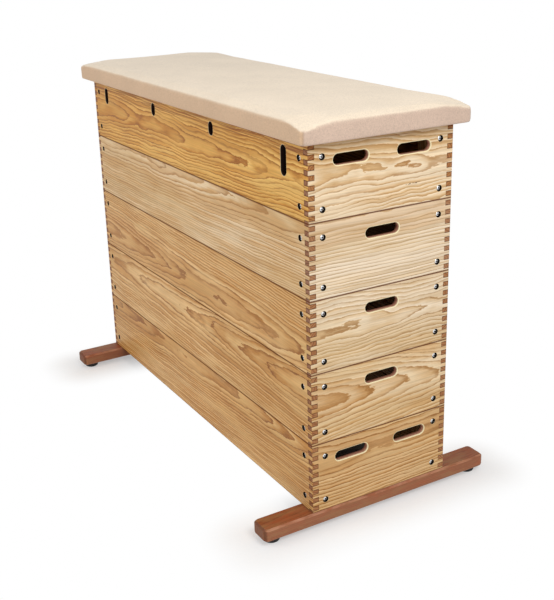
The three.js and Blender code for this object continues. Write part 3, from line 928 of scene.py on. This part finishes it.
def remeshed(mesh):
    thing = added("pad_voxels", mesh)
    voxels = thing.modifiers.new("voxels", "REMESH")
    configure(voxels, mode="VOXEL", voxel_size=VOXEL * MM, adaptivity=0.0)
    result = evaluated(thing)
    bpy.data.objects.remove(thing)
    return result


def coordinates(mesh):
    values = np.zeros(len(mesh.vertices) * 3, np.float32)
    mesh.vertices.foreach_get("co", values)
    return values.reshape(-1, 3).astype(float)


def move_points(mesh, points):
    mesh.vertices.foreach_set("co", points.astype(np.float32).ravel())
    mesh.update()


def inflated(mesh):
    """The leather under light pressure, held on its sides. No point moves further than PAD_SWELL."""
    thing = added("pad_cloth", mesh)
    rest = coordinates(mesh)
    held = thing.vertex_groups.new(name="held")
    inside = np.minimum(PAD_HALF[0] * MM - np.abs(rest[:, 0]), PAD_HALF[1] * MM - np.abs(rest[:, 1]))
    on_side = (inside < HELD_DEPTH * MM) | (rest[:, 2] < DECK_TOP * MM)
    for index in np.nonzero(on_side)[0]:
        held.add([int(index)], 1.0, "REPLACE")
    cloth = thing.modifiers.new("cloth", "CLOTH")
    configure(cloth.settings, vertex_group_mass="held", quality=5)
    configure(cloth.settings, use_pressure=True, uniform_pressure_force=CLOTH_PRESSURE)
    cloth.settings.effector_weights.gravity = 0.0
    cloth.collision_settings.use_collision = False
    scene = bpy.context.scene
    for number in range(CLOTH_FRAMES):
        scene.frame_set(number + 1)
    shift = coordinates(evaluated(thing)) - rest
    scene.frame_set(1)
    length = np.linalg.norm(shift, axis=1, keepdims=True)
    shift *= np.minimum(1.0, PAD_SWELL * MM / np.maximum(length, 1e-9))
    bpy.data.objects.remove(thing)
    move_points(mesh, rest + shift)
    return mesh


def fold_corners(mesh):
    """A soft upright fold at each corner, and the slight unevenness of stretched hide."""
    points = coordinates(mesh)
    limit = [(half - FOLD_ZONE) * MM for half in PAD_HALF]
    band = [(half - SIDE_BAND) * MM for half in PAD_HALF]
    for index, (x, y, z) in enumerate(points):
        height = z / MM - DECK_TOP
        if height < 0:
            continue
        rise = min(1.0, height / FADE_HEIGHT)
        spot = Vector((x * WAVES, y * WAVES, z * WAVES))
        points[index, 2] += TOP_UNEVEN * MM * rise * noise.noise(spot)
        push = SIDE_UNEVEN * MM * rise * noise.noise(spot * SIDE_FINER)
        points[index, 0] += push * np.sign(x) * (abs(x) > band[0])
        points[index, 1] += push * np.sign(y) * (abs(y) > band[1])
        if abs(x) > limit[0] and abs(y) > limit[1]:
            across = ((PAD_HALF[0] * MM - abs(x)) - (PAD_HALF[1] * MM - abs(y))) / math.sqrt(2)
            depth = FOLD_DEPTH * MM * rise * math.exp(-(across / (FOLD_WIDTH * MM)) ** 2)
            points[index, 0] -= depth * np.sign(x) / math.sqrt(2)
            points[index, 1] -= depth * np.sign(y) / math.sqrt(2)
    move_points(mesh, points)


def open_below(mesh):
    """Cuts the bottom out inside the hem, so that the form is a cover."""
    bm = bmesh.new()
    bm.from_mesh(mesh)
    inner = [(half - HEM_WIDTH) * MM for half in PAD_HALF]
    gone = []
    for face in bm.faces:
        centre = face.calc_center_median()
        below = face.normal.z < FACING_DOWN and centre.z < STACK_TOP * MM
        if below and abs(centre.x) < inner[0] and abs(centre.y) < inner[1]:
            gone.append(face)
    bmesh.ops.delete(bm, geom=gone, context="FACES")
    bm.to_mesh(mesh)
    bm.free()


def build_cover(material):
    mesh = inflated(remeshed(pad_form(PAD_FLATTER)))
    fold_corners(mesh)
    open_below(mesh)
    mesh.materials.clear()
    mesh.shade_smooth()
    made = piece("leather_top", mesh, "leather", material, weighted=False)
    configure(made.modifiers.new("finer", "SUBSURF"), levels=1, render_levels=1)
    configure(made.modifiers.new("hide", "SOLIDIFY"), thickness=PAD_LEATHER * MM, offset=-1.0)
    settle(made, BODIES[5], ["leather_cover", "foam_pad"])


# Materials of the other pieces

def leather_material():
    material, w, shader = new_material("chamois_leather")
    point = w.object_point()
    _, out, up = w.split(w.object_normal())
    top = w.smooth(up, 0.1, 0.9)
    bounce_lit_long_side = w.smooth(w.absolute(out), 0.55, 0.8)
    broad = w.smooth(w.noise(point, 7.0, 3.0, 0.55), 0.3, 0.7, 0.965, 1.03)
    mottle = w.noise(point, 150.0, 4.0, 0.65)
    nap = w.noise(point, 900.0, 2.0, 0.7)
    speckle = w.smooth(w.noise(point, 330.0, 1.0), 0.3, 0.62, 0.9, 1.025)
    # the sides darker than the top: painted shade, with the nap; the long sides tanner than the ends:
    # painted light reflected from the wood
    side = w.mix(bounce_lit_long_side, srgb(206, 181, 163), srgb(213, 180, 147))
    colour = w.mix(top, side, srgb(244, 227, 203))
    shade = w.times(broad, w.smooth(mottle, 0.25, 0.75, 0.955, 1.035))
    shade = w.times(w.times(shade, w.smooth(nap, 0.2, 0.8, 0.94, 1.05)), speckle)
    colour = w.shaded(colour, shade)
    # painted shadow in the fold at each corner
    x, y, _ = w.split(point)
    to_end = w.minus(PAD_HALF[0] * MM, w.absolute(x))
    to_side = w.minus(PAD_HALF[1] * MM, w.absolute(y))
    near = w.times(w.fade(w.plus(to_end, to_side), 0.022, 0.05), w.fade(up, 0.2, 0.6))
    fold_shadow = w.times(w.smooth(w.apart(to_end, to_side), 0.001, 0.007, 0.3, 0.0), near)
    colour = w.mix(fold_shadow, colour, srgb(150, 116, 88))
    # rubbed paler along the rounded edge
    edge = w.times(w.smooth(up, 0.35, 0.65), w.smooth(up, 0.97, 0.8))
    colour = w.mix(w.times(edge, 0.35), colour, srgb(236, 221, 200))
    relief = w.plus(w.times(nap, 0.6), w.times(mottle, 0.8))
    w.fill(shader, {
        "Base Color": colour, "Roughness": w.smooth(nap, 0.2, 0.8, 0.78, 0.95),
        "Normal": w.bump(relief, 0.35, 0.0005),
        "Sheen Weight": 0.25, "Sheen Roughness": 0.5, "Specular IOR Level": 0.25,
    })
    return material


HARDWOOD = (srgb(154, 92, 58), srgb(138, 76, 44), srgb(96, 48, 28))
VENEER = (srgb(226, 196, 150), srgb(211, 176, 126), srgb(178, 136, 88))
BEAM_CUT = (0.0042, 0.03, 0.02, 0.006, 0.004, 0.0, 0.6)
POST_CUT = (0.005, 0.01, 0.012, 0.004, 0.004, 0.0, 0.75)
VENEER_CUT = (0.016, 0.01, 0.22, 0.02, 0.01, 0.0, 0.5)
PLY_THICKNESS = 0.003
# How far a post's pith lies from its middle in millimetres, and how many kinds of post there are
POST_PITH = (31, 20)
POST_KINDS = 17


def hardwood_material(side):
    """Oiled hardwood: open pores, mottled, with a patchy painted highlight on its long edges and dark
    round its ends.
    """
    material, w, shader = new_material(f"hardwood_{'front' if side > 0 else 'rear'}")
    point = w.object_point()
    x, deep, across = w.split(point)
    normal = w.object_normal()
    pith = (0.0, 0.03 * side, -0.08)
    colour, relief, rough = grain(
        w, w.vector(x, across, deep), normal, pith, BEAM_CUT, HARDWOOD, 31 + side)
    mottle = w.streaks(point, (13.0, 48.0, 48.0), 3.0, 0.6)
    pores = w.streaks(point, (30.0, 1500.0, 1500.0), 1.0)
    highlight_patches = w.smooth(w.streaks(point, (22.0, 60.0, 60.0), 3.0), 0.35, 0.65, 0.15, 0.7)
    nx, ny, nz = (w.absolute(part) for part in w.split(normal))
    edge = w.times(w.smooth(nz, 0.25, 0.6), w.smooth(ny, 0.25, 0.6))
    rim = w.times(w.smooth(nx, 0.3, 0.7), w.smooth(nx, 0.93, 0.995, 0.6, 0.0))
    layers = [
        (w.smooth(mottle, 0.46, 0.64, 0.0, 0.7), srgb(146, 102, 64)),
        (w.smooth(mottle, 0.46, 0.3, 0.0, 0.55), srgb(166, 80, 42)),
        (w.smooth(pores, 0.6, 0.74, 0.0, 0.45), srgb(84, 44, 28)),
        (w.smooth(nz, 0.6, 0.95, 0.0, 0.3), srgb(176, 126, 98)),
        # patchy painted highlight along the long edges
        (w.times(edge, highlight_patches), srgb(194, 140, 112)),
        (rim, srgb(80, 44, 34)),
        (w.smooth(nx, 0.97, 1.0, 0.0, 0.8), srgb(120, 80, 62)),
    ]
    for share, over in layers:
        colour = w.mix(share, colour, over)
    finish_wood(w, shader, colour, relief, rough, 0.45)
    return material


def post_material(name, centre, seed):
    """Pine with its grain upright, for a corner post, darkened by painted shade inside the box."""
    material, w, shader = new_material(name)
    x, y, z = w.split(w.object_point())
    nx, ny, nz = w.split(w.object_normal())
    pith = (0.0, centre[0] * MM, centre[1] * MM)
    colour, relief, rough = grain(
        w, w.vector(z, x, y), w.vector(nz, nx, ny), pith, POST_CUT, HONEY, 40 + seed)
    # painted shade inside the box
    colour = w.scaled(colour, (0.56, 0.48, 0.41))
    finish_wood(w, shader, colour, relief, w.plus(rough, 0.12))
    return material


def plywood_material():
    """Rotary-cut veneer on the faces, plies on the edge."""
    material, w, shader = new_material("plywood")
    x, y, z = w.split(w.object_point())
    up = w.absolute(w.split(w.object_normal())[2])
    cut = w.vector(x, y, w.times(z, 0.4))
    colour, relief, rough = grain(w, cut, (0.0, 0.0, 1.0), (0.3, 0.02, 1.35), VENEER_CUT, VENEER, 60)
    ply = w.math("FRACT", w.math("DIVIDE", z, PLY_THICKNESS))
    dark_ply = w.smooth(w.apart(ply, 0.5), 0.18, 0.26)
    edge = w.mix(dark_ply, srgb(206, 172, 124), srgb(148, 104, 66))
    colour = w.mix(w.smooth(up, 0.3, 0.7), edge, colour)
    finish_wood(w, shader, colour, relief, w.plus(rough, 0.18), 0.3)
    return material


def rubber_material():
    material, w, shader = new_material("black_rubber")
    dust = w.noise(w.object_point(), 160.0, 4.0, 0.6)
    w.fill(shader, {
        "Base Color": w.mix(w.smooth(dust, 0.45, 0.8, 0.0, 0.6), srgb(24, 23, 23), srgb(66, 62, 58)),
        "Roughness": w.smooth(dust, 0.2, 0.8, 0.62, 0.9), "Normal": w.bump(dust, 0.25, 0.0004),
    })
    return material


def recess_shade_material():
    """The inside of a screw's recess, dark with painted shade and grease."""
    material, w, shader = new_material("screw_recess_shade")
    cloud = w.noise(w.object_point(), 300.0)
    w.fill(shader, {"Base Color": w.mix(cloud, srgb(14, 12, 11), srgb(36, 33, 30)), "Roughness": 0.8})
    return material


def zinc_material():
    """Bright zinc-plated steel with fine handling marks."""
    material, w, shader = new_material("zinc_plate")
    cloud = w.noise(w.object_point(), 240.0, 3.0, 0.6)
    w.fill(shader, {
        "Base Color": w.mix(w.smooth(cloud, 0.3, 0.7), srgb(222, 223, 224), srgb(244, 245, 246)),
        "Metallic": 1.0, "Roughness": w.smooth(cloud, 0.25, 0.75, 0.2, 0.38),
        "Normal": w.bump(cloud, 0.08, 0.0002),
    })
    return material


def dress_nodes(zinc):
    """Materials for the solids that stay in sight."""
    plywood = plywood_material()
    for name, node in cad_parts.items():
        if node.hide_render:
            continue
        if "_post_" in name:
            low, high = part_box(name)
            seed = sum(map(ord, name)) % POST_KINDS
            x = (low.x + high.x) / 2 / MM + POST_PITH[0] - seed
            y = (low.y + high.y) / 2 / MM + POST_PITH[1] + seed
            material = post_material(f"pine_{name}", (x, y), seed)
        elif name == "deck":
            material = plywood
        else:
            material = zinc
        node.data.materials.clear()
        node.data.materials.append(material)


# Camera, floor and light

def aim_camera(place, heading, tilt, roll, lens, sensor, shift):
    """The photograph's viewpoint, fitted to the edges of the box. The angles are in degrees."""
    camera = added("camera", bpy.data.cameras.new("camera"))
    configure(camera.data, lens=lens, sensor_width=sensor, shift_y=shift)
    turns = rotation(heading - 90, "Z") @ rotation(90 - tilt, "X") @ rotation(roll, "Z")
    camera.matrix_world = Matrix.Translation(place) @ turns
    bpy.context.scene.camera = camera


def seen_plainly(w):
    """1 for rays from the camera and those that a mirror or glass passes on, 0 for the others."""
    rays = w.node("ShaderNodeLightPath").outputs
    return w.larger(rays["Is Camera Ray"], w.larger(rays["Is Glossy Ray"], rays["Is Transmission Ray"]))


FLOOR_REACH = 9000
# Where the painted shadow under the box fades, in metres
SHADE_ENDS = (0.60, 0.68)
SHADE_LEFT = (-0.17, -0.145)
SHADE_RIGHT = (0.19, 0.23)


def build_floor():
    """A pale floor that fades to white away from the box, keeps its shadow, and has a painted shadow
    inside the box.
    """
    corners = [(x * FLOOR_REACH, y * FLOOR_REACH, 0) for x, y in ((-1, -1), (1, -1), (1, 1), (-1, 1))]
    mesh = mesh_from("floor_mesh", corners, [(0, 1, 2, 3)])
    floor = added("floor", mesh)
    material = bpy.data.materials.new("floor")
    w = emptied(material)
    fine = w.noise(w.object_point(), 40.0, 3.0)
    colour = w.mix(fine, (0.9, 0.9, 0.9, 1.0), (0.93, 0.93, 0.93, 1.0))
    white = w.node("ShaderNodeEmission", {"Color": (1.0, 1.0, 1.0, 1.0), "Strength": 1.0})
    # distance from the nearer beam's footprint
    x, y, _ = w.split(w.object_point())
    off_x = w.apart(w.absolute(x), BEAM_MIDDLE * MM)
    off_x = w.larger(w.minus(off_x, BEAM_WIDTH / 2 * MM), 0.0)
    off_y = w.larger(w.minus(w.absolute(y), BEAM_LENGTH / 2 * MM), 0.0)
    far = w.diagonal(off_x, off_y)
    # painted shadow: the floor inside the box is dark
    under_x = w.fade(w.absolute(x), *SHADE_ENDS)
    under_y = w.times(w.smooth(y, *SHADE_LEFT), w.fade(y, *SHADE_RIGHT))
    painted_under_shadow = w.times(under_x, under_y)
    open_floor = w.minus(1.0, painted_under_shadow)
    plain = w.node("ShaderNodeBsdfDiffuse", {"Color": w.mix(painted_under_shadow, colour, (0.2, 0.19, 0.18, 1.0))})
    share = w.times(w.smooth(far, 0.0, 0.16, 0.4, 1.0), w.times(seen_plainly(w), open_floor))
    mixed = w.node("ShaderNodeMixShader", {0: share, 1: plain.outputs[0], 2: white.outputs[0]})
    w.node("ShaderNodeOutputMaterial", {0: mixed.outputs[0]})
    mesh.materials.append(material)


def build_world():
    world = bpy.data.worlds.new("studio")
    bpy.context.scene.world = world
    w = emptied(world)
    soft = w.node("ShaderNodeBackground", {"Color": (1.0, 0.99, 0.98, 1.0), "Strength": 0.5})
    white = w.node("ShaderNodeBackground", {"Color": (1.0, 1.0, 1.0, 1.0), "Strength": 1.0})
    mixed = w.node("ShaderNodeMixShader", {0: seen_plainly(w), 1: soft.outputs[0], 2: white.outputs[0]})
    w.node("ShaderNodeOutputWorld", {0: mixed.outputs[0]})


WARM_WHITE = (1.0, 0.985, 0.965)


def add_lamp(name, place, target, size, power, colour=(1.0, 1.0, 1.0)):
    lamp = added(name, bpy.data.lights.new(name, "AREA"))
    configure(lamp.data, shape="DISK", size=size, energy=power, color=colour)
    lamp.location = place
    lamp.rotation_euler = (Vector(target) - Vector(place)).to_track_quat("-Z", "Y").to_euler()


aim_camera(
    place=(2.6463, -1.4339, 1.5234), heading=150.01, tilt=18.85, roll=-1.56,
    lens=59.66, sensor=36, shift=-0.05)
build_world()
build_floor()
add_lamp("key", place=(3.0, -0.3, 3.0), target=(0.4, 0.0, 0.8), size=1.6, power=60, colour=WARM_WHITE)
add_lamp("fill", place=(-0.4, -3.8, 2.8), target=(0.0, 0.0, 0.7), size=2.4, power=48)

zinc = zinc_material()
build_boards()
build_screws(zinc, recess_shade_material())
build_beams()
build_feet(rubber_material())
build_cover(leather_material())
dress_nodes(zinc)

scene = bpy.context.scene
scene.view_settings.view_transform = "Standard"
